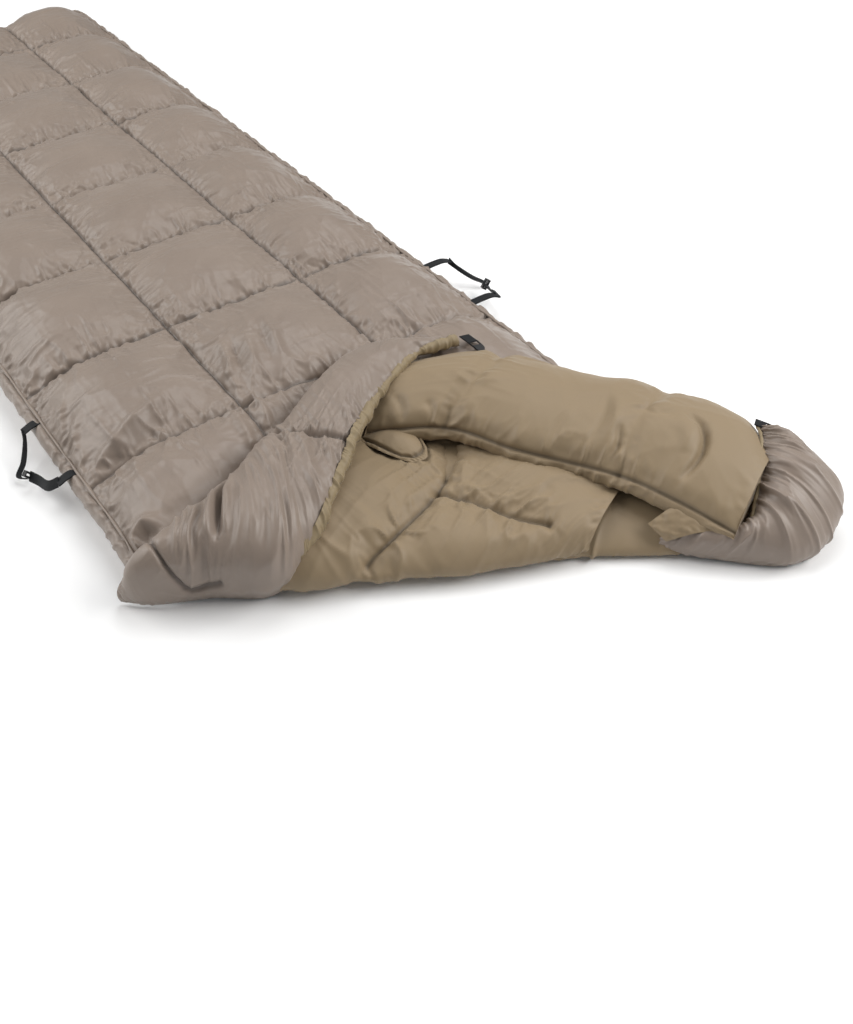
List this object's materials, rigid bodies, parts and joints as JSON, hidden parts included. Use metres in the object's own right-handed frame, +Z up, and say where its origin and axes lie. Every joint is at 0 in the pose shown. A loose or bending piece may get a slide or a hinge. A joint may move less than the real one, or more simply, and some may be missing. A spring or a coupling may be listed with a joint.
{
  "type": "camp quilt",
  "caption": "Down camp quilt in bag form with its head end open, a thrown-back mouth band, a draft collar, pad loops and mouth straps.",
  "frame": {"origin": "centre of the bounding box's bottom face, on the surface that the quilt lies on", "axes": "+Y towards the foot, along the length; +X to the right seen from the head; +Z up"},
  "size_m": [0.7685, 2.0762, 0.1],
  "materials": {
    "shell": "taupe nylon taffeta, satin",
    "lining": "khaki nylon, soft matte",
    "down": "loose down",
    "webbing": "black woven webbing",
    "plastic": "black moulded acetal",
    "cord": "khaki corded edge and elastic"
  },
  "bodies": {
    "bag": {"bottom_shell": "shell", "bottom_lining": "lining", "bottom_fill_left": "down", "bottom_fill_middle": "down", "bottom_fill_right": "down", "head_fill": "down", "top_lining": "lining", "top_shell": "shell", "head_row_fill": "down", "head_row_shell": "shell", "top_fill_row1_left": "down", "top_fill_row1_middle": "down", "top_fill_row1_right": "down", "top_fill_row2_left": "down", "top_fill_row2_middle": "down", "top_fill_row2_right": "down", "top_fill_row3_left": "down", "top_fill_row3_middle": "down", "top_fill_row3_right": "down", "top_fill_row4_left": "down", "top_fill_row4_middle": "down", "top_fill_row4_right": "down", "top_fill_row5_left": "down", "top_fill_row5_middle": "down", "top_fill_row5_right": "down", "top_fill_row6_left": "down", "top_fill_row6_middle": "down", "top_fill_row6_right": "down", "top_fill_row7_left": "down", "top_fill_row7_middle": "down", "top_fill_row7_right": "down", "left_gusset": "shell", "left_gusset_fill": "down", "right_gusset": "shell", "right_gusset_fill": "down", "foot_gusset": "shell", "foot_gusset_fill": "down", "collar_tab": "lining", "hood_corner_fill": "down", "hood_corner_shell": "shell", "hood_corner_piping": "cord"},
    "mouth_band": {"mouth_band_lining": "lining", "mouth_band_fill": "down", "mouth_band_shell": "shell", "mouth_hem": "cord", "mouth_drawcord": "cord"},
    "draft_collar": {"collar_underside": "lining", "collar_fill": "down", "collar_cover": "lining", "collar_hem": "lining"},
    "left_loop": {"left_pad_loop": "webbing"},
    "left_slider": {"left_slider": "plastic"},
    "right_loop": {"right_pad_loop": "webbing"},
    "right_slider": {"right_slider": "plastic"},
    "mouth_strap_a": {"mouth_strap_a": "webbing", "mouth_strap_a_buckle": "plastic"},
    "mouth_strap_b": {"mouth_strap_b": "webbing", "mouth_strap_b_buckle": "plastic"}
  },
  "joints": [
    {"name": "mouth_band_lift", "type": "hinge", "parent": "bag", "child": "mouth_band", "pos_m": [-0.32375, -0.6421, 0.066], "axis": [-0.9241, -0.3821, 0], "range_deg": [0, 40]},
    {"name": "collar_fold", "type": "hinge", "parent": "bag", "child": "draft_collar", "pos_m": [0.20125, -0.6041, 0.048], "axis": [-0.5031, 0.8642, 0], "range_deg": [0, 60]},
    {"name": "left_loop_swing", "type": "hinge", "parent": "bag", "child": "left_loop", "pos_m": [-0.34625, -0.3761, 0.035], "axis": [0, 1, 0], "range_deg": [0, 60]},
    {"name": "left_slider_slide", "type": "slide", "parent": "left_loop", "child": "left_slider", "axis": [0.3443, -0.9049, 0.2501], "range_m": [-0.018, 0.03]},
    {"name": "right_loop_swing", "type": "hinge", "parent": "bag", "child": "right_loop", "pos_m": [0.32875, -0.3761, 0.035], "axis": [0, -1, 0], "range_deg": [0, 60]},
    {"name": "right_slider_slide", "type": "slide", "parent": "right_loop", "child": "right_slider", "axis": [-0.3443, -0.9049, 0.2501], "range_m": [-0.018, 0.03]},
    {"name": "mouth_strap_a_swing", "type": "hinge", "parent": "bag", "child": "mouth_strap_a", "pos_m": [0.16225, -0.5731, 0.072], "axis": [-1, 0, 0], "range_deg": [0, 90]},
    {"name": "mouth_strap_b_swing", "type": "hinge", "parent": "bag", "child": "mouth_strap_b", "pos_m": [0.36225, -0.9011, 0.0822], "axis": [-1, 0, 0], "range_deg": [0, 85]}
  ]
}
